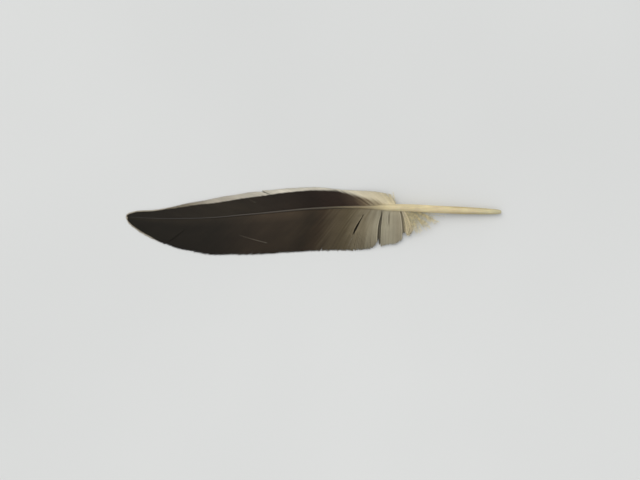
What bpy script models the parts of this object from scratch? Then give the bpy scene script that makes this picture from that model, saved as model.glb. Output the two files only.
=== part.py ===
"""A goose's wing feather, lying as shed with its upper side up.

The shaft runs along X from the tip of the feather (-X) to the bare quill (+X).
The narrow outer vane is on +Y and the broad inner vane on -Y. Both vanes grow
from the shaft, so the feather is one solid: a plate of locks, each a bundle of
barbs that hold together, joined to the shaft by a Boolean union.

Stations are distances from the tip towards the quill, in millimetres.
"""

import math

import bmesh
import bpy
import numpy as np

MM = 0.001

FEATHER_LENGTH = 240.0
SHAFT_TIP = 1.5  # station of the shaft's first ring
VANE_TIP = 3.0  # station of the first barbs
VANE_BASE = 181.0  # station of the last barbs, where the bare quill starts

OUTER, INNER = 1, -1  # the vane's side of the shaft, along Y

# (station, value) pairs that a smooth curve runs through.
SHAFT_SWEEP = ((0, 0), (36, -1.6), (105, 2.5), (150, 4.3), (200, 2.0), (240, 0))
SHAFT_RISE = ((0, 0.35), (30, 2.6), (75, 5.2), (125, 6.4), (175, 5.4), (215, 3.4), (240, 2.2))
SHAFT_HALF_WIDTH = (
    (0, 0.15), (40, 0.42), (80, 0.62), (124, 0.9), (150, 1.25), (168, 1.8),
    (182, 2.2), (205, 2.4), (225, 2.1), (236, 1.65),
)
VANE_WIDTH = {
    OUTER: (
        (0, 0), (3, 2.7), (10, 5.0), (26, 6.9), (49, 11.3), (70, 13.6), (95, 14.6), (120, 14.0),
        (138, 11.6), (147, 10.8), (156, 10.2), (163, 9.5), (170, 8.2), (178, 5.6), (186, 2.4), (196, 0),
    ),
    INNER: (
        (0, 0), (2, 2.4), (5, 6.0), (9, 8.4), (14, 11.0), (24, 15.4), (40, 20.6), (65, 24.6),
        (100, 26.6), (140, 27.4), (155, 27.0), (166, 24.6), (178, 21.0), (187, 13.5), (196, 0),
    ),
}
# Barb headings, in degrees from the direction of the tip: where they leave the shaft, and at the margin.
BARB_LEAVES = {
    OUTER: ((3, 0), (8, 14), (25, 24), (70, 32), (130, 36), (155, 44), (168, 62), (181, 104)),
    INNER: (
        (3, 0), (8, 16), (25, 31), (70, 43), (130, 47), (152, 50), (160, 68), (168, 86), (181, 120),
    ),
}
BARB_ENDS = {
    OUTER: ((3, 0), (8, 9), (25, 17), (70, 24), (130, 27), (155, 38), (168, 60), (181, 112)),
    INNER: (
        (3, 0), (8, 11), (25, 24), (70, 35), (130, 43), (152, 62), (160, 78), (168, 92), (181, 126),
    ),
}
# How far up the shaft's side the vane grows, as a share of the shaft's half height.
VANE_SEAT = ((0, 0.5), (140, 0.5), (165, 0.3), (181, 0.05))
MARGIN_HEIGHT = {
    OUTER: ((0, 0.35), (40, 0.5), (90, 0.35), (130, 0.6), (165, 2.6), (196, 4.2)),
    INNER: ((0, 0.35), (30, 0.35), (75, 0.35), (120, 0.35), (150, 0.8), (170, 1.6), (196, 2.6)),
}

SHAFT_DEPTH = ((0, 1.3), (140, 1.3), (185, 1.0), (240, 0.94))  # half height over half width
RING_SIDES = 16
RING_SPACING = 6.0

# The quill's end is a blunt nose with a small hole, the lower umbilicus: (station, radius).
QUILL_END = ((236.0, 1.65), (238.6, 1.4), (239.7, 1.05), (240.0, 0.75), (239.9, 0.5), (236.5, 0.35))

VANE_THICKNESS = 0.6
VANE_CROWN = 1.7  # power of the vane's fall from the shaft to the margin
LOCKS_PER_SIDE = 36
LOCK_NOTCH = 0.55  # gap between the tips of two locks
LOCK_POINT = 0.7  # how far a lock's middle reaches past its corners
LOCK_CROWN = 0.3  # how far a lock's middle line stands above its edges
BARB_STEPS = (0.0, 0.1, 0.26, 0.42, 0.58, 0.74, 0.9, 1.0)
LONGEST_BARB = 80.0
LENGTH_HALVINGS = 40  # steps of the search for a barb's length
LEAST_TURN = 1e-4  # radians; a straight barb is taken as an arc of this turn
LEAST_WIDTH = 0.01  # keeps a share of the vane's width defined where the vane ends

# Where the vane has come apart: (side, station of the root, (share of the barb, gap in mm), ...).
SPLITS = (
    (
        INNER, 156.3,
        (0.0, 0), (0.1, 0), (0.26, 1.2), (0.42, 2.0), (0.58, 1.6), (0.74, 0), (0.9, 0), (1.0, 0.6),
    ),
    (INNER, 166.2, (0.0, 0), (0.1, 0.5), (0.42, 1.0), (0.74, 1.6), (1.0, 2.6)),
    (INNER, 171.1, (0.0, 0), (0.1, 0.5), (0.26, 0.5), (0.42, 0), (0.9, 0), (1.0, 0.6)),
    (INNER, 176.1, (0.0, 0), (0.1, 0.5), (0.42, 1.0), (0.74, 1.6), (1.0, 3.0)),
    (OUTER, 101.9, (0.0, 0), (0.58, 0), (0.74, 0.4), (1.0, 1.6)),
    (OUTER, 166.2, (0.0, 0), (0.26, 0.4), (1.0, 1.4)),
    (OUTER, 176.1, (0.0, 0), (0.1, 0.3), (1.0, 1.6)),
)

KERATIN_COLOUR = (0.09, 0.075, 0.055, 1.0)
KERATIN_ROUGHNESS = 0.6


def clear_scene():
    """Empties the scene that the script starts in."""
    for obj in list(bpy.data.objects):
        bpy.data.objects.remove(obj)


def through(pairs, at):
    """Reads a smooth curve through (place, value) pairs, which never overshoots them."""
    place, value = np.array(pairs, float).T
    step = np.diff(place)
    rise = np.diff(value) / step
    tangent = np.zeros(len(place))
    tangent[0], tangent[-1] = rise[0], rise[-1]
    for i in range(1, len(place) - 1):
        if rise[i - 1] * rise[i] > 0:
            tangent[i] = 2 * rise[i - 1] * rise[i] / (rise[i - 1] + rise[i])
    at = min(max(at, place[0]), place[-1])
    i = min(np.searchsorted(place, at, side="right") - 1, len(step) - 1)
    t = (at - place[i]) / step[i]
    start = value[i] + t * step[i] * tangent[i]
    end = value[i + 1] - (1 - t) * step[i] * tangent[i + 1]
    blend = t * t * (3 - 2 * t)
    return float(start * (1 - blend) + end * blend)


def shaft_sizes(station):
    """Half width and half height of the shaft."""
    half_width = through(SHAFT_HALF_WIDTH, station)
    return half_width, half_width * through(SHAFT_DEPTH, station)


def seat_height(station):
    """Height at which the vanes' middle surface meets the shaft."""
    half_height = shaft_sizes(station)[1]
    return through(SHAFT_RISE, station) + half_height * through(VANE_SEAT, station)


def vane_point(side, station, reach):
    """A point of the vane's middle surface, reach millimetres out from the shaft, in metres."""
    width = max(through(VANE_WIDTH[side], station), LEAST_WIDTH)
    share = min(reach / width, 1.0)
    seat = seat_height(station)
    margin = min(through(MARGIN_HEIGHT[side], station), seat)
    height = margin + (seat - margin) * (1 - share**VANE_CROWN)
    across = through(SHAFT_SWEEP, station) + side * reach
    return np.array((station, across, height)) * MM


def barb_line(side, root):
    """Returns a function from the share of a barb's length to its (station, reach)."""
    leaves = math.radians(through(BARB_LEAVES[side], root))
    ends = math.radians(through(BARB_ENDS[side], root))
    turn = ends - leaves if abs(ends - leaves) > LEAST_TURN else LEAST_TURN

    def heading_sums(share):
        """How far along and out a barb of length 1 has come, on an arc that turns evenly."""
        now = leaves + turn * share
        return (math.sin(now) - math.sin(leaves)) / turn, (math.cos(leaves) - math.cos(now)) / turn

    along, out = heading_sums(1.0)
    shortest, longest = 0.0, LONGEST_BARB
    for _ in range(LENGTH_HALVINGS):
        length = (shortest + longest) / 2
        inside = length * out < through(VANE_WIDTH[side], root - length * along)
        if inside and root > length * along:
            shortest = length
        else:
            longest = length

    def place(share):
        a, o = heading_sums(share)
        return root - length * a, length * o

    return place


def split_gap(side, root, spacing, share):
    """Gap between the two locks that meet at this root, in millimetres."""
    for split_side, station, *profile in SPLITS:
        if split_side == side and abs(station - root) < spacing / 2:
            return through(profile, share)
    return LOCK_NOTCH if share == 1.0 else 0.0


def vane_sheet():
    """The middle surface of both vanes: one open sheet, split and notched between its locks."""
    sheet = bmesh.new()
    made = {}
    roots = np.linspace(VANE_TIP, VANE_BASE, LOCKS_PER_SIDE + 1)
    spacing = roots[1] - roots[0]

    def vertex(key, side, station, reach, raised=0.0):
        """The vertex of this key, which locks that hold together share."""
        if key not in made:
            point = vane_point(side, station, max(reach, 0))
            made[key] = sheet.verts.new(point + np.array((0, 0, raised * MM)))
        return made[key]

    def edge(side, i, step, towards):
        """A vertex between two locks. towards is -1 for the lock nearer the tip, 1 for the next."""
        share = BARB_STEPS[step]
        outermost = i in (0, LOCKS_PER_SIDE)
        gap = 0.0 if outermost else split_gap(side, roots[i], spacing, share)
        key = (0 if step == 0 or i == 0 else side, i, step, towards if gap else 0)
        station, reach = barb_line(side, roots[i])(share)
        outward = math.radians(through(BARB_ENDS[side], roots[i]))
        station += towards * gap / 2 * math.sin(outward)
        reach += towards * gap / 2 * math.cos(outward)
        if share == 1.0 and i:
            reach -= LOCK_POINT / 2
        return vertex(key, side, station, reach)

    def crown(side, i, step):
        """A vertex on the raised middle line of lock i, which also makes the lock's point."""
        share = BARB_STEPS[step]
        key = (0 if step == 0 else side, i + 0.5, step, 0)
        station, reach = barb_line(side, (roots[i] + roots[i + 1]) / 2)(share)
        return vertex(key, side, station, reach, LOCK_CROWN * math.sin(math.pi * share))

    for side in (OUTER, INNER):
        for i in range(LOCKS_PER_SIDE):
            for step in range(len(BARB_STEPS) - 1):
                left = [edge(side, i, s, 1) for s in (step, step + 1)]
                middle = [crown(side, i, s) for s in (step, step + 1)]
                right = [edge(side, i + 1, s, -1) for s in (step, step + 1)]
                sheet.faces.new((left[0], middle[0], middle[1], left[1]))
                sheet.faces.new((middle[0], right[0], right[1], middle[1]))
    bmesh.ops.recalc_face_normals(sheet, faces=sheet.faces)
    return sheet


def shaft_rings():
    """(station, half width, half height) of each ring, the last one inside the hole in the quill's end."""
    stations = np.arange(SHAFT_TIP, QUILL_END[0][0], RING_SPACING)
    rings = [(station, *shaft_sizes(station)) for station in stations]
    flat = through(SHAFT_DEPTH, FEATHER_LENGTH)
    return rings + [(station, radius, radius * flat) for station, radius in QUILL_END]


def shaft_tube():
    """The rachis and quill as one tube, drawn out from ring to ring."""
    tube = bmesh.new()
    loops = []
    for station, half_width, half_height in shaft_rings():
        turns = np.linspace(0, 2 * math.pi, RING_SIDES, endpoint=False)
        across = through(SHAFT_SWEEP, station)
        height = through(SHAFT_RISE, station)
        loops.append([
            tube.verts.new(
                np.array((
                    station,
                    across + half_width * math.cos(turn),
                    height + half_height * math.sin(turn),
                )) * MM
            )
            for turn in turns
        ])
    for one, two in zip(loops, loops[1:]):
        for k in range(RING_SIDES):
            after = (k + 1) % RING_SIDES
            tube.faces.new((one[k], one[after], two[after], two[k]))
    tube.faces.new(loops[0])
    tube.faces.new(loops[-1])
    bmesh.ops.recalc_face_normals(tube, faces=tube.faces)
    return tube


def object_of(name, shape):
    """Makes a linked object from a bmesh."""
    mesh = bpy.data.meshes.new(name)
    shape.to_mesh(mesh)
    shape.free()
    obj = bpy.data.objects.new(name, mesh)
    bpy.context.scene.collection.objects.link(obj)
    return obj


def keratin():
    """The feather's horn, in the dark brown that most of it has."""
    material = bpy.data.materials.new("keratin")
    material.use_nodes = True
    surface = material.node_tree.nodes["Principled BSDF"]
    surface.inputs["Base Color"].default_value = KERATIN_COLOUR
    surface.inputs["Roughness"].default_value = KERATIN_ROUGHNESS
    return material


def set_down(feather, *others):
    """Moves the feather and its helpers so that the origin is the bottom centre of the feather's box."""
    bpy.context.view_layer.update()
    evaluated = feather.evaluated_get(bpy.context.evaluated_depsgraph_get())
    points = np.array([vertex.co for vertex in evaluated.to_mesh().vertices])
    evaluated.to_mesh_clear()
    low, high = points.min(axis=0), points.max(axis=0)
    middle = (low + high) / 2
    for obj in (feather, *others):
        obj.location = (-middle[0], -middle[1], -low[2])


def main():
    clear_scene()
    vanes = object_of("vane_plate", vane_sheet())
    wall = vanes.modifiers.new("thickness", "SOLIDIFY")
    wall.thickness = VANE_THICKNESS * MM
    wall.offset = 0.0
    vanes.hide_render = True
    vanes.display_type = "WIRE"

    feather = object_of("feather", shaft_tube())
    feather.data.materials.append(keratin())
    grown = feather.modifiers.new("vanes", "BOOLEAN")
    grown.operation = "UNION"
    grown.solver = "EXACT"
    grown.object = vanes
    set_down(feather, vanes)


main()
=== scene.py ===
# %% [markdown]
# # A goose's wing feather, lying as it was shed
# The real thing grew as one piece of keratin, the stuff of horn and nails. A hollow quill runs on as
# the shaft, and on each side of the shaft some hundreds of barbs stand side by side. Tiny hooks zip
# each barb to the next, so that together they make a vane.
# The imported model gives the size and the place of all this. It could be coloured as it is, but its
# vanes are plates of locks, so here each barb is made as a thing of its own, along the same lines.

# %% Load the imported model
import math

import bmesh
import bpy
import numpy as np
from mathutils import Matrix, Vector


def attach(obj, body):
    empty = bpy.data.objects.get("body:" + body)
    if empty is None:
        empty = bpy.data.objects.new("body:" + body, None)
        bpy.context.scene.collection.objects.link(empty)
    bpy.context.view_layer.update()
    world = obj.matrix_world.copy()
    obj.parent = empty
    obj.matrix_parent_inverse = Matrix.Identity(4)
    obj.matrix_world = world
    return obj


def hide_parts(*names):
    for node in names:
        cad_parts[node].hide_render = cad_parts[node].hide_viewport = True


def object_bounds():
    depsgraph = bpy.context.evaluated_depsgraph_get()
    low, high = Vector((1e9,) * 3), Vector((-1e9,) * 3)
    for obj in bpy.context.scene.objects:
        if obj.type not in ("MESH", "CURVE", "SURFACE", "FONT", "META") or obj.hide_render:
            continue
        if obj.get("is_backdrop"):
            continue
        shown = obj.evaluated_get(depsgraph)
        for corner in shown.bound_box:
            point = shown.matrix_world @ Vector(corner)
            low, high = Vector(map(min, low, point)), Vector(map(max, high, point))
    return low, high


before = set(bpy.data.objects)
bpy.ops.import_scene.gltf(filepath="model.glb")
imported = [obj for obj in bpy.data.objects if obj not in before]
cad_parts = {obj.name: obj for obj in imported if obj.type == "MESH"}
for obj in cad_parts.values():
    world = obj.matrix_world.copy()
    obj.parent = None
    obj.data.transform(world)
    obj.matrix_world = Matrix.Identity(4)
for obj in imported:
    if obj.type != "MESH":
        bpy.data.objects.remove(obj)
cad_low, cad_high = (list(corner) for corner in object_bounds())

MM = 0.001
print("feather, mm:", [round((b - a) / MM, 1) for a, b in zip(cad_low, cad_high)])

# %% [markdown]
# ## Finding the shaft in the frame
# Every size below is in millimetres, and a place along the feather is its station, the distance from
# the tip. One point has to be found to turn these into places in the frame. The quill's blunt end is
# the furthest thing along X, and it is a ring round the shaft's middle line, so its own middle is
# that point. Reading it from the model keeps the two together if the model is ever changed.

# %% From stations to places
FEATHER_LENGTH = 240.0
QUILL_END_HEIGHT = 2.2
END_SLICE = 0.02  # how deep a slice of the quill's end is read

end_ring = np.array([
    corner.co / MM
    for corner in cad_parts["feather"].data.vertices
    if corner.co.x > cad_high[0] - END_SLICE * MM
])
end_middle = (end_ring.min(axis=0) + end_ring.max(axis=0)) / 2
ORIGIN = end_middle - np.array((FEATHER_LENGTH, 0.0, QUILL_END_HEIGHT))


def placed(station, across, height):
    """Points of the frame, in metres, from millimetres along, across and above."""
    return (np.stack(np.broadcast_arrays(station, across, height), axis=-1) + ORIGIN) * MM


print("station 0 lies at, mm:", ORIGIN.round(2))

# %% [markdown]
# ## The driving curves
# A feather has hardly a straight line in it, so its sizes are given as a few pairs of station and
# value, with a smooth curve run through them. A spline could overshoot between two pairs and make a
# bulge that nobody drew. This one takes its slopes from the pairs on both sides, and never does.

# %% Curves through pairs
OUTER, INNER = 1, -1  # the narrow vane is on +Y and the broad one on -Y
VANE_TIP = 3.0
VANE_BASE = {OUTER: 173.2, INNER: 177.4}

SHAFT_SWEEP = (
    (0, 0), (36, -1.6), (80, 0.5), (105, 2.5), (125, 3.7), (140, 4.05), (160, 3.65), (172, 3.5),
    (200, 2.0), (240, 0),
)
SHAFT_RISE = ((0, 0.35), (30, 2.6), (75, 5.2), (125, 6.4), (175, 5.4), (215, 3.4), (240, 2.2))
SHAFT_HALF_WIDTH = (
    (0, 0.15), (40, 0.42), (80, 0.62), (124, 0.9), (150, 1.25), (158, 1.5), (166, 2.1),
    (172, 2.32), (205, 2.4), (225, 2.1), (236, 1.65),
)
SHAFT_DEPTH = ((0, 1.3), (140, 1.3), (168, 1.0), (240, 0.94))  # half height over half width
VANE_WIDTH = {
    OUTER: (
        (0, 0), (0.4, 1.1), (1.3, 2.0), (3, 2.9), (10, 4.6), (15, 5.1), (20, 5.8), (26, 6.9), (49, 11.3),
        (70, 13.6), (95, 14.6), (120, 14.0), (138, 11.7), (147, 11.1), (156, 10.7), (163, 10.0), (170, 8.6),
        (178, 5.6), (186, 2.4), (196, 0),
    ),
    INNER: (
        (0, 0), (0.4, 1.2), (1, 2.8), (2.6, 4.9), (5.5, 7.2), (8.1, 8.9), (11, 10.6), (14, 12.1), (24, 16.0),
        (40, 20.8), (65, 24.6), (100, 26.6), (140, 27.3), (155, 26.6), (166, 24.1), (178, 20.8), (187, 13.5),
        (196, 0),
    ),
}
LEAST_WIDTH = 0.01  # of a vane, so that nothing is divided by 0 at its very tip
VANE_SEAT = ((0, 0.5), (140, 0.5), (165, 0.3), (181, 0.05))  # height over the shaft's half height
VANE_CROWN = 1.7  # 1 for a vane that slopes evenly, more for one that arches over its margin
MARGIN_HEIGHT = {
    OUTER: ((0, 0.35), (40, 0.5), (90, 0.35), (130, 0.6), (165, 2.6), (196, 4.2)),
    INNER: ((0, 0.35), (30, 0.35), (75, 0.35), (120, 0.35), (150, 0.8), (170, 1.6), (196, 2.6)),
}


def through(pairs, at):
    """Reads a smooth curve through (place, value) pairs, which never overshoots them."""
    place, value = np.array(pairs, float).T
    step = np.diff(place)
    slope = np.diff(value) / step
    before, after = slope[:-1], slope[1:]
    total = np.where(before * after > 0, before + after, 1.0)
    inner = np.where(before * after > 0, 2 * before * after / total, 0.0)
    tangent = np.concatenate((slope[:1], inner, slope[-1:]))
    at = np.clip(at, place[0], place[-1])
    i = np.clip(np.searchsorted(place, at, side="right") - 1, 0, len(step) - 1)
    t = (at - place[i]) / step[i]
    start = value[i] + t * step[i] * tangent[i]
    end = value[i + 1] - (1 - t) * step[i] * tangent[i + 1]
    blend = t * t * (3 - 2 * t)
    return start * (1 - blend) + end * blend


def shaft_sizes(station):
    """Half width and half height of the shaft."""
    half_width = through(SHAFT_HALF_WIDTH, station)
    return half_width, half_width * through(SHAFT_DEPTH, station)


def vane_width(side, station):
    """How far out the vane's outline lies from the shaft."""
    return np.maximum(through(VANE_WIDTH[side], station), LEAST_WIDTH)


def vane_height(side, station, reach):
    """Height of the vane's middle surface, reach millimetres out from the shaft."""
    share = np.clip(reach / vane_width(side, station), 0.0, 1.0)
    half_height = shaft_sizes(station)[1]
    seat = through(SHAFT_RISE, station) + half_height * through(VANE_SEAT, station)
    margin = np.minimum(through(MARGIN_HEIGHT[side], station), seat)
    return margin + (seat - margin) * (1 - share**VANE_CROWN)


for station in (30, 90, 150, 210):
    print(f"station {station}: shaft {2 * shaft_sizes(station)[0]:.2f} mm wide")

# %% [markdown]
# ## Camera
# The photograph looks straight down, so the camera does too. Two points fix it: the feather's tip
# and the end of its quill have to fall on their own pixels. The distance between them gives the
# scale, the line between them gives the roll, and a long lens at half a metre keeps the picture
# as flat as the photograph is.

# %% Camera over the feather
PICTURE_WIDTH, PICTURE_HEIGHT = 640, 480
TIP_PIXEL, QUILL_PIXEL = (125.3, 216.8), (501.0, 212.0)
LENS, SENSOR = 44.0, 36.0
MIDDLE_HEIGHT = 1.3  # height of the line between tip and quill end

pixels_along = QUILL_PIXEL[0] - TIP_PIXEL[0]
pixels_up = TIP_PIXEL[1] - QUILL_PIXEL[1]
roll = math.atan2(pixels_up, pixels_along)
pixel_size = FEATHER_LENGTH / math.hypot(pixels_along, pixels_up)
right_of_middle = PICTURE_WIDTH / 2 - (TIP_PIXEL[0] + QUILL_PIXEL[0]) / 2
below_middle = PICTURE_HEIGHT / 2 - (TIP_PIXEL[1] + QUILL_PIXEL[1]) / 2
along = pixel_size * (right_of_middle * math.cos(roll) - below_middle * math.sin(roll))
across = -pixel_size * (right_of_middle * math.sin(roll) + below_middle * math.cos(roll))
height = MIDDLE_HEIGHT + PICTURE_WIDTH * pixel_size * LENS / SENSOR

bpy.ops.object.camera_add(
    location=placed(FEATHER_LENGTH / 2 + along, across, height), rotation=(0, 0, -roll)
)
camera = bpy.context.object
camera.data.lens = LENS
camera.data.sensor_width = SENSOR
camera.data.clip_start = 0.01
bpy.context.scene.camera = camera
print(f"one pixel is {pixel_size:.3f} mm, camera {camera.location.z:.3f} m up, roll {math.degrees(roll):.2f}")

# %% [markdown]
# ## Colours and nodes
# A colour read off a screen is an sRGB one, and the shaders want it linear, so one function turns
# every hex value. Another adds a node with its settings and its inputs. An input may be a number, a
# colour, another node's output, or a node, which stands for its first output. The last two are
# linked, so that a material reads from top to bottom.

# %% Colour and node helpers
def linear(hex_colour):
    """Turns an sRGB hex colour into the linear one that a shader takes."""
    parts = [int(hex_colour[i:i + 2], 16) / 255 for i in (1, 3, 5)]
    return (*(c / 12.92 if c <= 0.04045 else ((c + 0.055) / 1.055) ** 2.4 for c in parts), 1.0)


def add_node(tree, kind, inputs=(), stops=(), **settings):
    """Adds a node. Inputs go by name or from the first socket on. Stops are (place, hex colour)."""
    node = tree.nodes.new("ShaderNode" + kind)
    for name, value in settings.items():
        setattr(node, name, value)
    for socket, value in inputs.items() if isinstance(inputs, dict) else enumerate(inputs):
        if isinstance(value, bpy.types.Node):
            value = value.outputs[0]
        if isinstance(value, bpy.types.NodeSocket):
            tree.links.new(value, node.inputs[socket])
        else:
            node.inputs[socket].default_value = value
    for i, (place, hex_colour) in enumerate(stops):
        ramp = node.color_ramp.elements
        stop = ramp[i] if i < min(2, len(stops)) else ramp.new(place)
        stop.position = place
        stop.color = linear(hex_colour)
    return node


def new_material(name):
    """An empty node material and its tree."""
    material = bpy.data.materials.new(name)
    material.use_nodes = True
    material.node_tree.nodes.clear()
    return material, material.node_tree


def finish_material(tree, look):
    """Gives the material one shader, which has this look."""
    add_node(tree, "OutputMaterial", (add_node(tree, "BsdfPrincipled", look),))


def deselect_all():
    """Leaves nothing selected, so that an operator acts on the new piece alone."""
    bpy.ops.object.select_all(action="DESELECT")


print("taupe in linear light:", [round(c, 3) for c in linear("#948d7a")])

# %% [markdown]
# ## Floor and light
# The feather lies on a pale painted board, as in a studio. A shade of grey that is not quite even
# keeps it from looking like an empty page. The board is large, and the room behind it has the same
# tone, so that it has no edge from the side either. The photograph's light is very soft and comes
# from the far side, a little from the left: each quill is bright along its far edge and falls off
# towards the near one. A sun as wide as a window, and a bright room, light it like that everywhere.

# %% Floor
FLOOR_SIZE = 40.0

deselect_all()
bpy.ops.mesh.primitive_plane_add(size=FLOOR_SIZE, location=(0, 0, 0))
floor = bpy.context.object
floor.name = "floor"

# Painted board: a matt, even white with the faintest clouding from the roller, three clouds a metre.
board, tree = new_material("painted_board")
place = add_node(tree, "TexCoord").outputs["Object"]
cloud = add_node(tree, "TexNoise", {"Vector": place, "Scale": 3.0, "Detail": 3.0})
shade = add_node(tree, "ValToRGB", (cloud,), stops=((0.3, "#d4d6d7"), (0.7, "#dadcdd")))
finish_material(tree, {"Base Color": shade, "Roughness": 0.8, "Specular IOR Level": 0.2})
floor.data.materials.append(board)
floor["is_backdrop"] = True
print("floor", floor.dimensions.x, "m")

# %% Light
WINDOW = (-0.35, 0.5, 0.8)  # where the light comes from
WINDOW_WIDTH = 55.0  # in degrees, as seen from the feather
WINDOW_STRENGTH = 1.3

bpy.ops.object.light_add(type="SUN", location=WINDOW)
window = bpy.context.object
window.name = "window"
window.rotation_euler = (-window.location).to_track_quat("-Z", "Y").to_euler()
window.data.angle = math.radians(WINDOW_WIDTH)
window.data.energy = WINDOW_STRENGTH
window.data.color = linear("#fffaf2")[:3]

world = bpy.data.worlds.new("room")
world.use_nodes = True
world.node_tree.nodes["Background"].inputs["Color"].default_value = linear("#dfe0e0")
world.node_tree.nodes["Background"].inputs["Strength"].default_value = 0.95
bpy.context.scene.world = world
bpy.context.scene.view_settings.view_transform = "Standard"
print("window", WINDOW_WIDTH, "degrees wide")

# %% [markdown]
# ## Shaft
# The quill is a tube of clear horn, open at its end by a small hole, and it goes over into the
# rachis, which is full of pith and has a groove along its underside. It is one thing drawn out by
# growth, and it is modelled that way: a disc at the bottom of the hole is extruded ring by ring, out
# over the lip and then along the whole feather. Where the groove begins, the lowest points of the
# ring are lifted a little at each step, and every later ring takes the groove along.

# %% Rings of the shaft
SHAFT_SIDES = 24
RING_SPACING = 3.0
SHAFT_START = 1.5
# From inside the hole to the outside of the quill: (station, radius).
QUILL_END = (
    (231.0, 0.75), (236.5, 0.72), (239.2, 0.55), (239.85, 0.52), (240.0, 0.72),
    (239.7, 1.05), (238.6, 1.4), (236.0, 1.65),
)
GROOVE_FROM, GROOVE_TO = 182.0, 158.0
GROOVE_SHARE = 0.45  # half width of the groove over that of the shaft
GROOVE_DEPTH = 0.55  # depth of the groove over the shaft's half height

flat = through(SHAFT_DEPTH, FEATHER_LENGTH)
shaft_rings = [(station, radius, radius * flat) for station, radius in QUILL_END]
for station in np.arange(QUILL_END[-1][0] - RING_SPACING, SHAFT_START, -RING_SPACING):
    shaft_rings.append((station, *shaft_sizes(station)))


def shaft_middle(station):
    """The shaft's middle line, in metres."""
    return placed(station, through(SHAFT_SWEEP, station), through(SHAFT_RISE, station))


print(len(shaft_rings), "rings")

# %% Draw the shaft out
station, half_width, half_height = shaft_rings[0]
deselect_all()
bpy.ops.mesh.primitive_circle_add(
    vertices=SHAFT_SIDES, radius=half_width * MM, fill_type="NGON",
    location=shaft_middle(station), rotation=(0, math.pi / 2, 0),
)
shaft = bpy.context.object
shaft.name = "shaft"
bpy.ops.object.transform_apply(location=True, rotation=True, scale=True)
bpy.ops.object.mode_set(mode="EDIT")
bpy.ops.transform.resize(value=(1, 1, half_height / half_width), center_override=shaft_middle(station))


def lift_underside(middle, half_width, lift):
    """Lifts the lowest points of the ring that is selected, and selects the whole ring again."""
    edit = bmesh.from_edit_mesh(shaft.data)
    ring = [vertex for vertex in edit.verts if vertex.select]
    for vertex in ring:
        near = abs(vertex.co.y - middle[1]) < GROOVE_SHARE * half_width * MM
        vertex.select_set(bool(near and vertex.co.z < middle[2]))
    bpy.ops.transform.translate(value=(0, 0, lift))
    for vertex in ring:
        vertex.select_set(True)
    edit.select_flush(True)


groove_steps = (GROOVE_FROM - GROOVE_TO) / RING_SPACING
for before, after in zip(shaft_rings, shaft_rings[1:]):
    middle = shaft_middle(after[0])
    bpy.ops.mesh.extrude_region_move(
        TRANSFORM_OT_translate={"value": middle - shaft_middle(before[0])}
    )
    bpy.ops.transform.resize(
        value=(1, after[1] / before[1], after[2] / before[2]), center_override=middle
    )
    if GROOVE_TO < after[0] < GROOVE_FROM:
        lift_underside(middle, after[1], GROOVE_DEPTH * after[2] * MM / groove_steps)

bpy.ops.mesh.select_all(action="SELECT")
bpy.ops.mesh.normals_make_consistent(inside=False)
bpy.ops.object.mode_set(mode="OBJECT")
rounding = shaft.modifiers.new("rounding", "SUBSURF")
rounding.levels = rounding.render_levels = 2
bpy.ops.object.modifier_apply(modifier="rounding")
bpy.ops.object.shade_smooth()
print("shaft:", len(shaft.data.polygons), "faces, mm:", [round(d / MM, 1) for d in shaft.dimensions])

# %% [markdown]
# ## One barb
# A barb is a fine rib with a web of barbules along both its sides. The rib stands a little above the
# web on the feather's upper side, and reaches deeper below it. Barbs differ only in length and in
# the line that they follow, so one is modelled, along X and of length 1, and the vanes are made of
# its copies. Its section is a flat diamond: the outer corners are the edges of the web, and the other
# two are the rib's back and its keel. The last steps narrow it to the free point that barbs have at
# the margin. The threads of the down are drawn out in the same way later, so a function does it.

# %% Model one barb
BARB_STEPS = (0.0, 0.06, *np.linspace(0.12, 0.84, 13), 0.88, 0.92, 0.95, 0.975, 1.0)
POINT_FROM = 0.95  # share of the barb where its free point starts
POINT_WIDTH = 0.1


def point_width(share):
    """Width of the barb, which is 1 up to where its free point starts."""
    return 1 - (1 - POINT_WIDTH) * (np.clip(share - POINT_FROM, 0, 1) / (1 - POINT_FROM)) ** 1.4


def drawn_out(steps, width_at):
    """Draws a diamond out along X, ring by ring, and returns its points and its faces."""
    deselect_all()
    bpy.ops.mesh.primitive_circle_add(
        vertices=4, radius=1.0, fill_type="NGON", rotation=(0, math.pi / 2, 0)
    )
    rod = bpy.context.object
    bpy.ops.object.transform_apply(location=True, rotation=True, scale=True)
    bpy.ops.object.mode_set(mode="EDIT")
    bpy.ops.mesh.select_all(action="SELECT")
    for before, after in zip(steps, steps[1:]):
        bpy.ops.mesh.extrude_region_move(TRANSFORM_OT_translate={"value": (after - before, 0, 0)})
        narrower = float(width_at(after) / width_at(before))
        bpy.ops.transform.resize(value=(1, narrower, narrower), center_override=(after, 0, 0))
    bpy.ops.mesh.select_all(action="SELECT")
    bpy.ops.mesh.normals_make_consistent(inside=False)
    bpy.ops.object.mode_set(mode="OBJECT")
    points = np.array([vertex.co for vertex in rod.data.vertices])
    points[:, 0] = points[:, 0].clip(0, 1)
    # Copies run towards the tip, against X, which turns them inside out, so faces are turned here.
    faces = [list(face.vertices)[::-1] for face in rod.data.polygons]
    bpy.data.objects.remove(rod)
    return points, faces


BARB_POINTS, BARB_FACES = drawn_out(BARB_STEPS, point_width)
print("one barb:", len(BARB_POINTS), "points,", len(BARB_FACES), "faces")

# %% [markdown]
# ## The lines that barbs follow
# Each barb leaves the shaft at its own angle to the direction of the tip and bends on its way to the
# margin. Its line is an arc whose direction turns evenly from the first angle to the second, and its
# length is found by halving, so that it ends on the vane's outline. All barbs of a vane are worked
# out at once as arrays, which is what makes some hundreds of them cheap.

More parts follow.
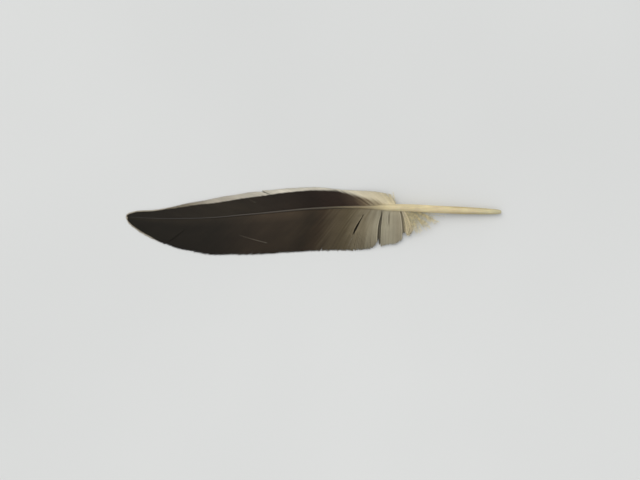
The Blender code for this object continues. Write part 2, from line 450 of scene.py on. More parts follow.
# %% Arcs for the barbs
BARB_LEAVES = {
    OUTER: ((3, 0), (8, 14), (25, 24), (70, 32), (130, 36), (155, 38), (166, 48), (173, 68)),
    INNER: (
        (3, 0), (8, 16), (25, 31), (70, 43), (130, 47), (150, 49), (156, 52), (164.5, 75.5), (169, 85),
        (175, 113.5), (176.8, 122), (180, 130),
    ),
}
BARB_ENDS = {
    OUTER: ((3, 0), (8, 9), (25, 17), (70, 24), (130, 27), (155, 30), (166, 38), (173, 62)),
    INNER: (
        (3, 0), (8, 11), (25, 24), (70, 35), (130, 43), (150, 63), (156, 77), (164.5, 92), (169, 88),
        (175, 87), (176.8, 103), (180, 114),
    ),
}
LEAST_TURN = 1e-4
LONGEST_BARB = 80.0
LENGTH_HALVINGS = 40


def arc_sums(leaves, turn, share):
    """How far along and out a barb of length 1 has come."""
    now = leaves + turn * share
    return (np.sin(now) - np.sin(leaves)) / turn, (np.cos(leaves) - np.cos(now)) / turn


def barb_arcs(side, roots):
    """Starting angle, turn and length of the barb at each root."""
    leaves = np.radians(through(BARB_LEAVES[side], roots))
    turn = np.radians(through(BARB_ENDS[side], roots)) - leaves
    turn = np.where(abs(turn) > LEAST_TURN, turn, LEAST_TURN)
    along, out = arc_sums(leaves, turn, 1.0)
    shortest, longest = np.zeros_like(roots), np.full_like(roots, LONGEST_BARB)
    for _ in range(LENGTH_HALVINGS):
        length = (shortest + longest) / 2
        inside = length * out < through(VANE_WIDTH[side], roots - length * along)
        inside &= roots > length * along
        shortest = np.where(inside, length, shortest)
        longest = np.where(inside, longest, length)
    return leaves, turn, shortest


for root in (20.0, 90.0, 150.0):
    lengths = [barb_arcs(side, np.array([root]))[2][0] for side in (OUTER, INNER)]
    print(f"barbs at {root:.0f}: {lengths[0]:.1f} mm outer, {lengths[1]:.1f} mm inner")

# %% [markdown]
# ## Where the hooks have let go
# No vane is whole. Where the hooks have come apart, the vane gapes. The broad vane has a hairline
# slit towards the tip, and near its base two long gaps, a short slit, and a gap in front of its
# last, pale barbs. The narrow vane has a notch in its margin. A cut through a plate would show the
# floor, but in a real gap the nearest barbs have slipped below the others, which is why it looks
# dark. So each gap has a width along its barb. Three barbs sink and spread to fill it from below,
# and all the others are pushed aside. The sunk barbs also get painted shade in their colour, and
# the curled edges beside a gap a painted highlight.

# %% Gaps
# (side, root, how dark the painted shade of the sunk barbs is, share of the barb where the sunk ones end,
# pairs of share and gap in mm)
GAPS = (
    (INNER, 47.5, 0.8, 1.0, ((0.3, 0), (0.45, 0.15), (0.8, 0.2), (1, 0.4))),
    (
        INNER, 155.4, 1.0, 1.0,
        ((0.17, 0), (0.24, 0.4), (0.34, 0.8), (0.45, 1.1), (0.54, 1.15), (0.61, 0.45), (0.66, 0), (1, 0)),
    ),
    (INNER, 164.4, 0.6, 0.92, ((0, 0), (0.14, 0.2), (0.3, 0.75), (0.5, 1.25), (0.8, 1.5), (1, 1.6))),
    (INNER, 168.7, 0.35, 1.0, ((0, 0), (0.1, 0.1), (0.2, 0.23), (0.4, 0.23), (0.55, 0), (1, 0))),
    (INNER, 174.6, 0.25, 0.85, ((0, 0), (0.06, 0.35), (0.35, 0.6), (0.6, 0.8), (1, 1.3))),
    (OUTER, 111.3, 0.6, 0.97, ((0.66, 0), (0.74, 0.9), (0.9, 1.6), (1, 2.1))),
)
SUNK_STRETCH = 0.63  # half the stretch of shaft whose barbs sink, in mm
SUNK_FROM = 0.5  # gap from which they have sunk all the way
SUNK_DEPTH = 1.0
SUNK_OVERLAP = 0.3  # how far they reach in under the gap's edges
GAP_PUSH = 5.0  # stretch of shaft over which a gap pushes the other barbs together
GAP_CURL = 0.25  # how far the edges of a gap curl up
CURL_REACH = 1.5  # and over what stretch of shaft
HIGHLIGHT_REACH = 0.45  # over what stretch the curled edge gets a painted highlight


def opened(side, roots, share):
    """How far each point is pushed and lifted, its painted shade and painted highlight, and the cut of each
    barb.
    """
    pushed = np.zeros(np.broadcast(roots, share).shape)
    lifted, gap_shade, edge_highlight, cut = pushed.copy(), pushed.copy(), pushed.copy(), np.ones_like(roots)
    for gap_side, root, darkness, sunk_end, profile in GAPS:
        if gap_side != side:
            continue
        gap = through(profile, share)
        away = abs(roots - root)
        sunk = away < SUNK_STRETCH
        sinking = np.clip(gap / SUNK_FROM, 0, 1)
        sinking = sinking**2 * (3 - 2 * sinking)
        edge = (gap - 2 * SUNK_STRETCH * sinking) / 2
        spread = away / SUNK_STRETCH * (edge + SUNK_OVERLAP * sinking)
        fade = np.clip(1 - (away - SUNK_STRETCH) / GAP_PUSH, 0, 1)
        pushed += np.sign(roots - root) * np.where(sunk, spread, edge * fade)
        curl = GAP_CURL * np.exp(-np.maximum(away - SUNK_STRETCH, 0) / CURL_REACH)
        lifted += np.where(sunk, -SUNK_DEPTH, curl) * sinking
        # Painted highlight: the curled edges next to a gap are made lighter in their colour.
        lit = np.exp(-(away - SUNK_STRETCH) / HIGHLIGHT_REACH) * sinking
        edge_highlight = np.maximum(edge_highlight, np.where(sunk, 0, lit))
        # Painted shade: the sunk barbs are darkened in their colour, more as they sink further.
        gap_shade = np.maximum(gap_shade, np.where(sunk, sinking * darkness, 0))
        cut = np.where(sunk, sunk_end, cut)
    return pushed, lifted, gap_shade, edge_highlight, cut


print(len(GAPS), "gaps")

# %% [markdown]
# ## Wear and waves
# Barbs hold together in locks that swell a little one by one, some tips have broken off, and the
# last barbs before the bare quill have no hooks at all, so that they hang loose. The unevenness
# comes from smooth random curves with a fixed seed, which makes it the same each time.

# %% Unevenness
random = np.random.default_rng(11)

LOCK_SWELL = ((3, 0.04), (110, 0.08), (150, 0.16), (181, 0.3))
LOCK_SPACING = 6.0
BROKEN_SHARE = 0.03  # share of the barbs whose tips have broken off
BROKEN_LENGTH = (0.95, 0.985)  # what is left of such a barb
LENGTH_NOISE = 0.008
LOOSE = {  # from 0, hooked together, to 1, each barb on its own
    OUTER: ((3, 0), (168, 0), (173, 0.3)),
    INNER: ((3, 0), (176, 0), (177.4, 0.4)),
}
LOOSE_WEB, LOOSE_LENGTH = 0.45, 0.86  # of a loose barb, over a hooked one's
LOOSE_SWAY, SWAY_LIFT = 0.9, 0.4  # how far its end strays, and what share of that it rises
# Two locks of the broad vane have lost a corner, one in front of the second gap and one at the
# vane's end: (root, share of length lost).
TORN = (
    (3, 0), (160.8, 0), (162, 0.02), (162.8, 0.07), (163.5, 0.1), (164.4, 0.14), (164.41, 0), (171.8, 0),
    (173.4, 0.04), (175, 0.1), (181, 0.05),
)


def wander(at, spacing):
    """A smooth random curve between -1 and 1 that has a new value every spacing millimetres."""
    knots = random.uniform(-1, 1, int(FEATHER_LENGTH / spacing) + 3)
    at = np.asarray(at) / spacing
    i = np.floor(at).astype(int)
    t = at - i
    return knots[i] + (knots[i + 1] - knots[i]) * t * t * (3 - 2 * t)


def worn_length(side, roots, length, loose):
    """The barbs' lengths after wear."""
    broken = random.random(roots.shape) < BROKEN_SHARE
    length = length * np.where(broken, random.uniform(*BROKEN_LENGTH, roots.shape), 1)
    length = length * (1 + LENGTH_NOISE * random.normal(size=roots.shape))
    if side == INNER:
        length = length * (1 - through(TORN, roots))
    return length * (1 - (1 - LOOSE_LENGTH) * loose * random.uniform(0, 2, roots.shape))


print("loose from station 168 on the narrow vane and 176 on the broad one")

# %% [markdown]
# ## What the colours need
# The material can't know where a barb starts or how wide the vane is, so the script hands it such
# facts as attributes of the points. Pigment comes in as a barb grows, so tones follow the barbs, but
# not quite: a tone lies partly across the feather. The narrow vane is white from a border on, given
# as its distance from the shaft, and a thin pale rim of worn barb ends runs round the tip.

# %% Facts for the colours
TONE_LEAN = 0.4  # 0 for tones straight across the feather, 1 for tones along the barbs
DARK_REACH = (
    (20, 6.1), (28, 6.3), (34, 7.1), (39, 7.8), (48, 8.9), (60, 9.6), (86, 11.1), (112, 11.9), (131, 11.3),
    (137, 10.6), (143.5, 9.0), (149, 7.2), (154, 5.9), (159, 4.6), (164, 2.8), (169, 0), (172, -2),
)
RIM_WIDTH = {OUTER: 0.75, INNER: 1.15}
RIM_ENDS = {OUTER: 24.0, INNER: 16.0}  # station from which the rim narrows
RIM_FADE = 0.15  # share of its width that it loses on each millimetre from there


def colour_facts(side, roots, length, share, station, reach):
    """What the material is told about each point of a vane. The rim is where "rim" is below 1."""
    width = vane_width(side, station)
    return {
        "root_mm": roots,
        "along_mm": length * share,
        "tone_mm": station + TONE_LEAN * (roots - station),
        "into_white_mm": reach - through(DARK_REACH, station),
        "rim": (
            np.minimum(width - reach, station) / RIM_WIDTH[side]
            + np.maximum(station - RIM_ENDS[side], 0) * RIM_FADE
        ),
        "margin": reach / width,
    }


print("rim, mm wide:", *RIM_WIDTH.values())

# %% [markdown]
# ## Laying the barbs
# Each copy of the barb is bent along its arc by plain arithmetic on the points: how far along gives
# the place on the arc, how far across gives the step towards the next barb, and the surface of the
# vane gives the height under both. The web of each barb lies over the edge of the next one, like
# tiles. A real vane has a barb every 0.3 to 0.4 mm, and so has this one. The first few at the tip are
# wider apart, because they run along the shaft there.

# %% Lay a vane
BARB_PITCH = ((3, 1.0), (10, 0.65), (25, 0.45), (60, 0.38), (181, 0.38))
WEB_OVERLAP = 1.2
NARROWEST_WEB, WIDEST_WEB = 0.05, 0.9
TILE_LIFT = 0.03
RIB_HEIGHT = 0.07
KEEL_DEPTH = ((0, 0.3), (0.5, 0.16), (1, 0.05))  # by share of the barb
# The barbs that make the tip stay broad to their ends, and so do those that spread apart.
BLUNT_ROOTS, BLUNT_WEB, BLUNT_WIDTH = 14.0, 0.3, 0.7
LEAST_HEIGHT = 0.08


def barb_roots(side):
    """Stations of the barbs' roots, spaced by the pitch."""
    roots = [VANE_TIP]
    while roots[-1] < VANE_BASE[side]:
        roots.append(roots[-1] + float(through(BARB_PITCH, roots[-1])))
    return np.array(roots[:-1])


def half_webs(roots, station, reach, heading, pushed, gap_shade):
    """Half the width of each barb's web, from the space between it and its neighbours."""
    station = station + pushed * np.sin(heading)
    reach = reach + pushed * np.cos(heading)
    step = np.diff(station, axis=0) * np.sin(heading[1:]) + np.diff(reach, axis=0) * np.cos(heading[1:])
    in_gap = gap_shade > 0.01
    step = np.where(in_gap[1:] == in_gap[:-1], step, np.nan)
    step = np.stack((np.vstack((step[:1], step)), np.vstack((step, step[-1:]))))
    known = np.isfinite(step)
    mean = np.where(known, step, 0).sum(axis=0) / np.maximum(known.sum(axis=0), 1)
    return np.clip(mean / 2, NARROWEST_WEB, WIDEST_WEB) * WEB_OVERLAP


def lay_vane(side):
    """The points of all barbs of a vane, in metres, and what its material wants to know of each."""
    roots = barb_roots(side)[:, None]
    share, across, rise = BARB_POINTS.T[:, None]
    across = across * side
    web, face = abs(across) / point_width(share), rise / point_width(share)
    loose = through(LOOSE[side], roots)
    leaves, turn, length = barb_arcs(side, roots)
    pushed, lifted, gap_shade, edge_highlight, cut = opened(side, roots, share)
    length = worn_length(side, roots, length, loose) * cut
    along, out = arc_sums(leaves, turn, share)
    station, reach = roots - length * along, length * out
    heading = leaves + turn * share
    half_web = half_webs(roots, station, reach, heading, pushed, gap_shade)
    blunt = np.clip(np.maximum(1 - roots / BLUNT_ROOTS, half_web / BLUNT_WEB - 1), 0, 1)
    across = across * (1 + blunt * (BLUNT_WIDTH / point_width(share) - 1).clip(0))
    half_web = half_web * (1 - (1 - LOOSE_WEB) * loose)
    sway = loose * LOOSE_SWAY * random.normal(size=roots.shape) * share**1.5
    sideways = across * half_web + pushed + sway
    station = station + sideways * np.sin(heading)
    # No barb crosses the shaft's middle line, and no two of its points fall together there.
    reach = np.maximum(reach + sideways * np.cos(heading), 0.01 + 0.01 * across + 0.02 * share)
    swell = through(LOCK_SWELL, roots) * wander(roots, LOCK_SPACING) * np.sin(np.pi * share**0.8)
    rib = np.where(rise > 0, rise * RIB_HEIGHT, rise * through(KEEL_DEPTH, share))
    height = vane_height(side, station, reach) + lifted + swell + rib - TILE_LIFT * across
    height = np.maximum(height + abs(sway) * SWAY_LIFT, LEAST_HEIGHT + 0.01 * rise)
    points = placed(station, through(SHAFT_SWEEP, station) + side * reach, height)
    facts = colour_facts(side, roots, length, share, station, reach)
    facts |= {"web": web, "upper": face, "gap_shade": gap_shade, "edge_highlight": edge_highlight}
    facts["barb_tone"] = random.normal(size=roots.shape)
    return points, facts


print("roots:", len(barb_roots(OUTER)), "outer,", len(barb_roots(INNER)), "inner")

# %% [markdown]
# ## Joining the copies
# Hundreds of objects would be slow to handle, so all barbs of a vane go into one mesh, with the
# facts as its attributes. It also gets a flat map, which lays the barbs side by side as strips, root
# by root, so that whatever paints the vane on a picture later finds neighbours next to each other.

# %% Join the barbs
STRIP_MARGIN = 0.02  # all three as shares of a copy's strip on the flat map
STRIP_LENGTH = 0.44
STRIP_HALF_WIDTH = 0.45


def flat_corners(points, faces):
    """Where a copy's corners lie on its flat strip: along it, upper side first, and across it."""
    corners = []
    for face in faces:
        under = 0.5 if points[face, 2].mean() < 0 else 0.0
        capped = np.ptp(points[face, 0]) == 0
        for along, across, rise in points[face]:
            # An end face would have no room on the strip, so its height gives it some.
            place = STRIP_MARGIN + STRIP_LENGTH * (along + (STRIP_MARGIN * rise if capped else 0))
            corners.append((under + place, 0.5 + STRIP_HALF_WIDTH * across))
    return np.array(corners)


def joined_copies(name, template, faces, points, facts, columns=1):
    """One object of many copies. Points are (copy, point, xyz), and facts become attributes."""
    copies, size = points.shape[:2]
    starts = np.arange(copies) * size
    all_faces = [[start + i for i in face] for start in starts.tolist() for face in faces]
    mesh = bpy.data.meshes.new(name)
    mesh.from_pydata(points.reshape(-1, 3).tolist(), [], all_faces)
    rows = math.ceil(copies / columns)
    row, column = np.divmod(np.arange(copies)[:, None], columns)
    along, across = flat_corners(template, faces).T
    places = np.stack(((column + along) / columns, (row + across) / rows), axis=-1)
    mesh.uv_layers.new(name="OFBake").uv.foreach_set("vector", places.astype(np.float32).ravel())
    for fact, values in facts.items():
        values = np.broadcast_to(values, points.shape[:2])
        layer = mesh.attributes.new(fact, "FLOAT", "POINT")
        layer.data.foreach_set("value", np.ascontiguousarray(values, np.float32).ravel())
    mesh.shade_smooth()
    piece = bpy.data.objects.new(name, mesh)
    bpy.context.scene.collection.objects.link(piece)
    return piece


vanes = {}
for side, name in ((OUTER, "outer_vane"), (INNER, "inner_vane")):
    points, facts = lay_vane(side)
    vanes[side] = joined_copies(name, BARB_POINTS, BARB_FACES, points, facts)
    print(name, len(points), "barbs,", len(vanes[side].data.polygons), "faces")

# %% [markdown]
# ## Keratin of the barbs
# Barbs are keratin, grown and then dried. Where a barb has melanin it is a dark brown that is nearly
# black, and where it has none it is white. A barb gets its pigment as it grows, so the colour of the
# broad vane changes from barb to barb: dark up to some 40 mm from the base, then fading to taupe.
# The narrow vane has dark barbs with white ends. Its last barbs are white from end to end.
# The gloss is low, and the ribs break it up by their shape, so the surface is only slightly rough.
# Close up, the ribs are lighter than the webs, and the webs are lined by their barbules.
# A picture could carry all this, but tones that are worked out from the facts stay sharp close up.

# %% Tones of the barbs
BROAD_TONES = (
    (3, "#18140d"), (66, "#1f1a13"), (92, "#32291f"), (112, "#32291e"), (121, "#2a2217"),
    (128, "#34291c"), (137, "#504635"), (144, "#574d39"), (155, "#7a715c"), (167, "#a19b87"),
    (175.8, "#a39a84"), (177.5, "#c0b497"),
)
NARROW_TONES = (
    (3, "#19150f"), (70, "#29231a"), (105, "#231b13"), (122, "#1b1108"), (140, "#26180f"),
    (150, "#3f3226"), (155, "#6a5c48"), (159, "#8d8169"), (168, "#bdb192"), (175, "#cdc1a0"),
)
WHITE_TONES = (
    (28, "#766e60"), (45, "#857d6c"), (65, "#bdb6a8"), (85, "#cbc5b7"), (105, "#d8d3c5"),
    (140, "#dfdaca"), (160, "#cec4aa"), (175, "#dbcfae"),
)
RIM_TONE = "#aea695"


def tone_ramp(tree, at_mm, tones):
    """Colour from a place in millimetres and a list of (millimetres, hex colour)."""
    last = tones[-1][0]
    place = add_node(tree, "Math", (at_mm, last), operation="DIVIDE")
    return add_node(tree, "ValToRGB", (place,), stops=[(mm / last, tone) for mm, tone in tones])


def shaded(tree, colour, parts, hue=0.5):
    """A colour made lighter or darker by parts: (value, from its low, to its high, light from, to)."""
    light = 1.0
    for part in parts:
        change = add_node(tree, "MapRange", part)
        light = add_node(tree, "Math", (light, change), operation="MULTIPLY")
    return add_node(tree, "HueSaturation", {"Color": colour, "Hue": hue, "Value": light})


print("tones:", len(BROAD_TONES), len(NARROW_TONES), len(WHITE_TONES))

# %% Streaks and white ends
NOISE_RANGE = (0.3, 0.7)  # nearly all values of a noise lie in it
STREAK_MM = 1.6  # a streak is three or four barbs wide, the finest that the picture can show
STREAK_LENGTH_MM = 25.0
# The white border along the feather: (from station, to station, millimetres there and there).
BORDER_FRAY = (110, 160, 0.25, 0.5)
BORDER_SOFTNESS = (120, 158, 0.45, 1.6)


def barb_noise(tree, facts, along_mm, across_mm):
    """Noise drawn out along the barbs, because each barb keeps its own tone."""
    place = add_node(tree, "CombineXYZ", (facts["along_mm"], facts["root_mm"]))
    spread = add_node(tree, "Mapping", {"Vector": place, "Scale": (1 / along_mm, 1 / across_mm, 1)})
    return add_node(tree, "TexNoise", {"Vector": spread, "Scale": 1.0, "Detail": 2.0})


def with_white_ends(tree, facts, colour, at, streak):
    """Turns the barbs white from the border on, a little sooner or later from streak to streak."""
    fray = add_node(tree, "MapRange", (at, *BORDER_FRAY))
    shift = add_node(tree, "MapRange", (streak, *NOISE_RANGE, -1, 1))
    past = add_node(tree, "Math", (shift, fray, facts["into_white_mm"]), operation="MULTIPLY_ADD")
    softness = add_node(tree, "MapRange", (at, *BORDER_SOFTNESS))
    past = add_node(tree, "Math", (past, softness), operation="DIVIDE")
    white_share = add_node(tree, "MapRange", (past, -1, 1), interpolation_type="SMOOTHSTEP")
    white = tone_ramp(tree, at, WHITE_TONES)
    mix = add_node(tree, "Mix", {"Factor": white_share, 6: colour, 7: white}, data_type="RGBA")
    return mix.outputs[2]


print("white from", through(DARK_REACH, 60.0), "mm out at station 60")

# %% Barb materials
BARB_IOR = 1.55
BARB_ROUGHNESS = 0.55
BARB_SPECULAR = 0.2  # half the usual: the hooks between the ribs swallow light
STREAK_SHIFT_MM = 2.5  # how far a streak moves a tone along the feather
CLOUD_MM = 14.0
BARBULE_MM = 0.15  # barbules are 0.03 mm apart; these are as fine as a close view can show
BARBULE_LEAN_MM = 0.2  # how far they come along the barb on their way across the web
RIM_EDGE = (1.25, 0.8, 0.0, 0.95)  # no rim where "rim" is above the first, all of it below the second
NEAR_SHAFT = (105, 135)  # stations between which the light stretch beside the shaft fades out
VANE_FACTS = (
    "root_mm", "along_mm", "tone_mm", "into_white_mm", "rim", "margin", "web", "upper", "gap_shade",
    "edge_highlight", "barb_tone",
)


def barb_material(name, tones, near_shaft, white_ends):
    """Barb keratin in the given tones, near_shaft times as light beside the shaft."""
    material, tree = new_material(name)
    facts = {
        fact: add_node(tree, "Attribute", attribute_name=fact).outputs["Fac"] for fact in VANE_FACTS
    }
    streak = barb_noise(tree, facts, STREAK_LENGTH_MM, STREAK_MM)
    shift = add_node(tree, "MapRange", (streak, *NOISE_RANGE, -STREAK_SHIFT_MM, STREAK_SHIFT_MM))
    at = add_node(tree, "Math", (facts["tone_mm"], shift), operation="ADD")
    colour = tone_ramp(tree, at, tones)
    if white_ends:
        colour = with_white_ends(tree, facts, colour, at, streak)
    rim = add_node(tree, "MapRange", (facts["rim"], *RIM_EDGE))
    colour = add_node(tree, "Mix", {"Factor": rim, 6: colour, 7: linear(RIM_TONE)}, data_type="RGBA")

    lean = add_node(tree, "Math", (facts["web"], -BARBULE_LEAN_MM), operation="MULTIPLY")
    barbule = add_node(tree, "Math", (facts["along_mm"], lean), operation="ADD")
    turns = add_node(tree, "Math", (barbule, math.tau / BARBULE_MM), operation="MULTIPLY")
    barbule = add_node(tree, "Math", (turns,), operation="SINE")
    near = add_node(tree, "MapRange", (at, *NEAR_SHAFT, near_shaft, 1.0))
    colour = shaded(tree, colour.outputs[2], (
        (barb_noise(tree, facts, CLOUD_MM, CLOUD_MM), *NOISE_RANGE, 0.86, 1.16),
        (facts["barb_tone"], -2, 2, 0.9, 1.1),  # no two barbs have quite the same tone
        (facts["margin"], 0.5, 1.0, 1.0, 0.84),  # the outer half gets darker towards its margin
        (facts["margin"], 0.05, 0.25, near, 1.0),
        (facts["web"], 0, 1, 1.12, 0.9),  # from the rib to the edge of the web
        (facts["upper"], -0.5, 0, 1.35, 1.0),  # the underside is lighter
        (barbule, -1, 1, 0.93, 1.07),
        (facts["edge_highlight"], 0, 1, 1.0, 1.3),  # painted highlight on the curled edges of gaps
        (facts["gap_shade"], 0, 1, 1.0, 0.15),  # and painted shade on the sunk barbs
    ))
    finish_material(tree, {
        "Base Color": colour, "Roughness": BARB_ROUGHNESS, "IOR": BARB_IOR,
        "Specular IOR Level": BARB_SPECULAR,
    })
    return material


# Barb keratin with melanin in it: umber that fades to taupe, with a low silky gloss.
melanised = barb_material("melanised_barb_keratin", BROAD_TONES, near_shaft=1.6, white_ends=False)
vanes[INNER].data.materials.append(melanised)
# Barb keratin with melanin near the shaft only: its ends are chalky white.
pied = barb_material("pied_barb_keratin", NARROW_TONES, near_shaft=1.0, white_ends=True)
vanes[OUTER].data.materials.append(pied)
print("nodes:", len(melanised.node_tree.nodes), "and", len(pied.node_tree.nodes))

# %% [markdown]
# ## Loose barbs and down
# The last barbs before the bare quill have no hooks. Each is a thin rib with soft filaments all along
# it, and together they make a cream fluff that fans out towards the quill. Curves with a bevel would
# do, but the filaments are meshes like the rest, so one thin tapered thread is drawn out as the barb
# was, and a copy of it serves for every rib and every filament.

# %% Model one thread
THREAD_STEPS = tuple(np.linspace(0, 1, 4))
THREAD_TAPER = 0.85  # share of its thickness that it loses on its way

THREAD_POINTS, THREAD_FACES = drawn_out(THREAD_STEPS, lambda share: 1 - THREAD_TAPER * share)
print("one thread:", len(THREAD_POINTS), "points,", len(THREAD_FACES), "faces")

# %% [markdown]
# ## Fanning the threads out
# A thread starts at a station and a reach, with a heading, a turn, a length and a thickness, and it
# rises or sinks evenly. Filaments start from points of their rib, lean off it to both sides and curl.
# The ribs are placed by chance within the fan, with the same fixed seed as before.

# %% Threads
FILAMENTS = 72  # on each rib
FIRST_FILAMENT = 0.06  # share of the rib that is bare
FILAMENT_LEAN = 0.85  # angle to its rib, in radians
FILAMENT_CURL = 1.6  # how far a filament may turn on its way, in radians
FILAMENT_SHRINK = 0.45  # how much shorter filaments are at the rib's end
FILAMENT_RADIUS = 0.032


def thread_points(side, station, reach, height, heading, turn, length, radius, climb):
    """Points of bent threads. Every argument but side is an array with one value for each thread."""
    share, across, rise = THREAD_POINTS.T[:, None]
    across = across * side
    columns = (station, reach, height, heading, turn, length, radius, climb)
    station, reach, height, heading, turn, length, radius, climb = (c[:, None] for c in columns)
    turn = np.where(abs(turn) > LEAST_TURN, turn, LEAST_TURN)
    along, out = arc_sums(heading, turn, share)
    now = heading + turn * share
    station = station - length * along + across * radius * np.sin(now)
    reach = reach + length * out + across * radius * np.cos(now)
    height = np.maximum(height + climb * share + rise * radius, LEAST_HEIGHT)
    return placed(station, through(SHAFT_SWEEP, station) + side * reach, height)


def with_filaments(rib, longest):
    """Adds filaments to ribs. A rib is (station, reach, height, heading, turn, length, radius, climb)."""
    station, reach, height, heading, turn, length, _, climb = (
        np.repeat(column, FILAMENTS) for column in rib
    )
    many = len(station)
    share = random.uniform(FIRST_FILAMENT, 1, many)
    turn = np.where(abs(turn) > LEAST_TURN, turn, LEAST_TURN)
    along, out = arc_sums(heading, turn, share)
    lean = random.choice((-1, 1), many) * FILAMENT_LEAN * random.uniform(0.5, 1.2, many)
    size = longest * (1 - FILAMENT_SHRINK * share) * random.uniform(0.5, 1, many)
    filament = (
        station - length * along, reach + length * out, height + climb * share,
        heading + turn * share + lean, random.uniform(-1, 0.4, many) * FILAMENT_CURL * np.sign(lean),
        size, np.full(many, FILAMENT_RADIUS), random.uniform(-0.4, 0.5, many) * size,
    )
    return [np.concatenate(pair) for pair in zip(rib, filament)]


def thread_piece(name, parts):
    """One object of threads, from (side, columns) parts."""
    points = np.concatenate([thread_points(side, *columns) for side, columns in parts])
    reach = np.concatenate([columns[1] for side, columns in parts])
    facts = {"barb_tone": random.normal(size=(len(points), 1)), "from_shaft_mm": reach[:, None]}
    strips_across = math.ceil(math.sqrt(len(points)))
    return joined_copies(name, THREAD_POINTS, THREAD_FACES, points, facts, strips_across)


print(FILAMENTS, "filaments on a rib,", 2 * FILAMENT_RADIUS, "mm thick")

# %% Fluff at the base
RIB_REACH = 0.8  # where the ribs start, over the shaft's half width
RIB_RADIUS = 0.05
RIB_HEIGHTS = (-0.5, 0.3)  # below and above the shaft's middle line
HEADING_SPREAD, BEND_SPREAD = 5.0, 14.0  # how unlike the ribs are, in degrees


def fan(count, station, heading, bend, length, climb):
    """Ribs of loose barbs. station, heading in degrees, length and climb are (from, to) pairs."""
    place = np.sort(random.uniform(0, 1, count))
    start = station[0] + (station[1] - station[0]) * place
    leaves = heading[0] + (heading[1] - heading[0]) * place
    return (
        start, shaft_sizes(start)[0] * RIB_REACH,
        through(SHAFT_RISE, start) + random.uniform(*RIB_HEIGHTS, count),
        np.radians(leaves + random.normal(0, HEADING_SPREAD, count)),
        np.radians(random.normal(bend, BEND_SPREAD, count)), random.uniform(*length, count),
        np.full(count, RIB_RADIUS), random.uniform(*climb, count),
    )


inner_fan = fan(
    count=64, station=(176.6, 187), heading=(108, 165), bend=-12, length=(10, 17), climb=(-2.6, -0.6)
)
outer_fan = fan(
    count=24, station=(162, 173.6), heading=(46, 70), bend=4, length=(5.5, 8.5), climb=(-2.8, -1.2)
)
down = thread_piece(
    "downy_barbs", ((INNER, with_filaments(inner_fan, 2.6)), (OUTER, with_filaments(outer_fan, 1.7)))
)
print("downy_barbs:", len(down.data.polygons), "faces")

# %% [markdown]
# ## Keratin of the down
# Down has no pigment, so it is cream, and dull, because threads so fine scatter light every way. They
# cling together in clumps, some lit and some in shade, darkest by the shaft. Shadows alone would show
# that on a real feather, which has many more filaments. Here the material paints that light and
# shade in: lighter and darker clumps, and painted shade deep in by the shaft.

# %% Down material
# Size of the clumps of painted light and shade.
SHADE_CLUMP_MM = 1.8


def thread_material(name, hex_colour):
    """Threads of one colour, with painted light and shade in clumps, and painted shade deep in by the shaft.
    """
    material, tree = new_material(name)
    tone = add_node(tree, "Attribute", attribute_name="barb_tone").outputs["Fac"]
    from_shaft = add_node(tree, "Attribute", attribute_name="from_shaft_mm").outputs["Fac"]
    place = add_node(tree, "TexCoord").outputs["Object"]
    clump_shade = add_node(tree, "TexNoise", {"Vector": place, "Scale": 1 / (SHADE_CLUMP_MM * MM), "Detail": 1.0})
    # Painted light and shade: lighter and darker clumps, and painted shade near the shaft.
    colour = shaded(tree, linear(hex_colour), (
        (tone, -2, 2, 0.88, 1.1), (clump_shade, 0.35, 0.65, 0.72, 1.12), (from_shaft, 1.5, 6, 0.75, 1.0),
    ))
    finish_material(
        tree, {"Base Color": colour, "Roughness": 0.85, "Sheen Weight": 0.3, "Specular IOR Level": 0.2}
    )
    return material


# Down: unpigmented keratin, with no gloss at all.
down.data.materials.append(thread_material("downy_keratin", "#ebdfb5"))
print("clumps some", SHADE_CLUMP_MM, "mm wide")

# %% [markdown]
# ## Stray barbs
# A few barbs have come off the edges of the vane and lie on it as pale hairs. One runs on from the
# lower end of the first gap to the margin. They are the same threads without filaments, laid just
# above the vane, whose height is read where each begins and where it ends.

# %% Stray barbs
STRAY_LIFT = 0.2
# (side, station, reach, heading in degrees, turn in degrees, length and radius in mm)
STRAYS = (
    (INNER, 144.9, 19.2, 58, 6, 7.4, 0.09),
    (INNER, 90.5, 19.1, -17.5, -5, 18.4, 0.1),
    (OUTER, 83.5, 7.1, 31, 4, 5.7, 0.05),
)

side, station, reach, heading, turn, length, radius = np.array(STRAYS).T
heading, turn = np.radians(heading), np.radians(turn)
along, out = arc_sums(heading, turn, 1.0)
parts = []
for i, vane_side in enumerate(side.astype(int)):
    start = vane_height(vane_side, station[i], reach[i]) + STRAY_LIFT
    finish = vane_height(vane_side, station[i] - length[i] * along[i], reach[i] + length[i] * out[i])
    columns = (
        station[i], reach[i], start, heading[i], turn[i], length[i], radius[i],
        finish + STRAY_LIFT - start,
    )
    parts.append((vane_side, [np.array([value]) for value in columns]))
strays = thread_piece("stray_barbs", parts)
# A stray barb has lost its hooks and some of its pigment, so it is paler than the vane under it.
strays.data.materials.append(thread_material("worn_barb_keratin", "#8f8676"))
print("stray_barbs:", len(STRAYS))

# %% [markdown]
# ## Horn of the shaft
# The quill is clear horn, cream because it is thick, and light goes a little way into it. The rachis
# takes on the pigment of the vanes: towards the tip it is brown, and only its back stays lighter, so
# that it draws a fine pale line down the feather. What the material needs is how far round from the
# back each point lies, and that is worked out from the shaft's own middle line and width.

# %% Tones of the horn
BACK_TONES = (
    (0, "#1f1b16"), (45, "#211d17"), (67, "#332d25"), (105, "#403930"), (124, "#3f382c"),
    (136, "#564d38"), (150, "#7d7156"), (157, "#998d6e"), (164, "#b9ac88"), (171, "#d0c29c"),
    (210, "#d6c79f"), (240, "#bfb897"),
)
FLANK_TONES = (
    (0, "#1a1611"), (90, "#1e1811"), (135, "#281f14"), (150, "#574c38"), (158, "#83775c"),
    (167, "#c1b592"), (190, "#d6c79f"), (215, "#b9a97c"), (240, "#b6ac8a"),
)

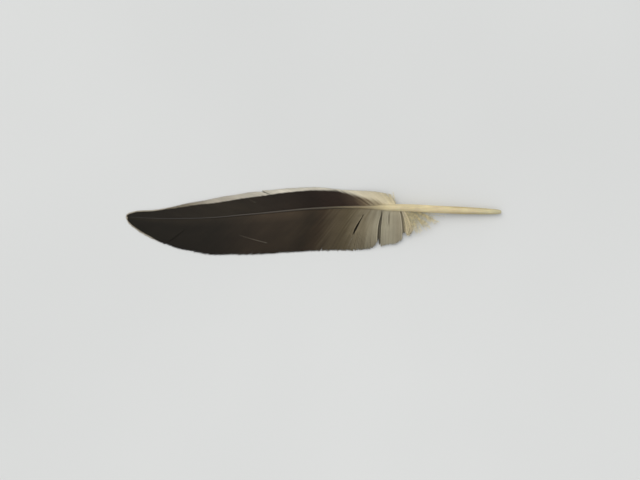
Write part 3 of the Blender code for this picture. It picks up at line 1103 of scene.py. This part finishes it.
mesh = shaft.data
where = np.zeros(len(mesh.vertices) * 3, np.float32)
mesh.vertices.foreach_get("co", where)
where = where.reshape(-1, 3) / MM - ORIGIN
aside = abs(where[:, 1] - through(SHAFT_SWEEP, where[:, 0])) / shaft_sizes(where[:, 0])[0]
below = where[:, 2] < through(SHAFT_RISE, where[:, 0])
for name, values in (("station_mm", where[:, 0]), ("flank", np.where(below, 1.0, aside))):
    layer = mesh.attributes.new(name, "FLOAT", "POINT")
    layer.data.foreach_set("value", values.astype(np.float32))
print("points with a tone:", len(where))

# %% Horn material
HORN_STREAK_MM = (50 / 3, 2 / 3)  # 17 mm long and 0.7 mm wide
BLOTCH_MM = 6.25
BACK_EDGE = (0.35, 0.8)  # how far round the back's tone goes over into the flank's

# Quill horn: satin, cream, with fine streaks along it and a little depth.
horn, tree = new_material("quill_horn")
station = add_node(tree, "Attribute", attribute_name="station_mm").outputs["Fac"]
flank = add_node(tree, "Attribute", attribute_name="flank").outputs["Fac"]
back_tone = tone_ramp(tree, station, BACK_TONES)
flank_tone = tone_ramp(tree, station, FLANK_TONES)
round_from_back = add_node(tree, "MapRange", (flank, *BACK_EDGE), interpolation_type="SMOOTHSTEP")
colour = add_node(
    tree, "Mix", {"Factor": round_from_back, 6: back_tone, 7: flank_tone}, data_type="RGBA"
)
place = add_node(tree, "TexCoord").outputs["Object"]
long_scale, fine_scale = (1 / (size * MM) for size in HORN_STREAK_MM)
stretched = add_node(tree, "Mapping", {"Vector": place, "Scale": (long_scale, fine_scale, fine_scale)})
streaks = add_node(tree, "TexNoise", {"Vector": stretched, "Scale": 1.0, "Detail": 4.0})
blotches = add_node(tree, "TexNoise", {"Vector": place, "Scale": 1 / (BLOTCH_MM * MM), "Detail": 3.0})
hue = add_node(tree, "MapRange", (blotches, 0.35, 0.7, 0.494, 0.506))
colour = shaded(
    tree, colour.outputs[2],
    ((streaks, *NOISE_RANGE, 0.86, 1.1), (blotches, 0.35, 0.7, 0.93, 1.05)), hue,
)
bump = add_node(tree, "Bump", {"Height": streaks, "Strength": 0.15, "Distance": 0.05 * MM})
finish_material(tree, {
    "Base Color": colour, "Roughness": 0.4, "IOR": 1.55, "Normal": bump, "Specular IOR Level": 0.35,
    "Subsurface Weight": 0.25, "Subsurface Radius": (1.0, 0.7, 0.4), "Subsurface Scale": MM,
})
shaft.data.materials.append(horn)
print("horn on", len(shaft.data.polygons), "faces")

# %% [markdown]
# ## Ride and replace
# All pieces stand for the one solid of the model, and go where it goes.

# %% Hand over
pieces = {
    shaft: "shaft", vanes[OUTER]: "vane", vanes[INNER]: "vane", down: "down", strays: "down",
}
for piece, slot in pieces.items():
    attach(piece, "root")
    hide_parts("feather")

print("model, mm:", [round(v / MM, 1) for v in cad_low + cad_high])
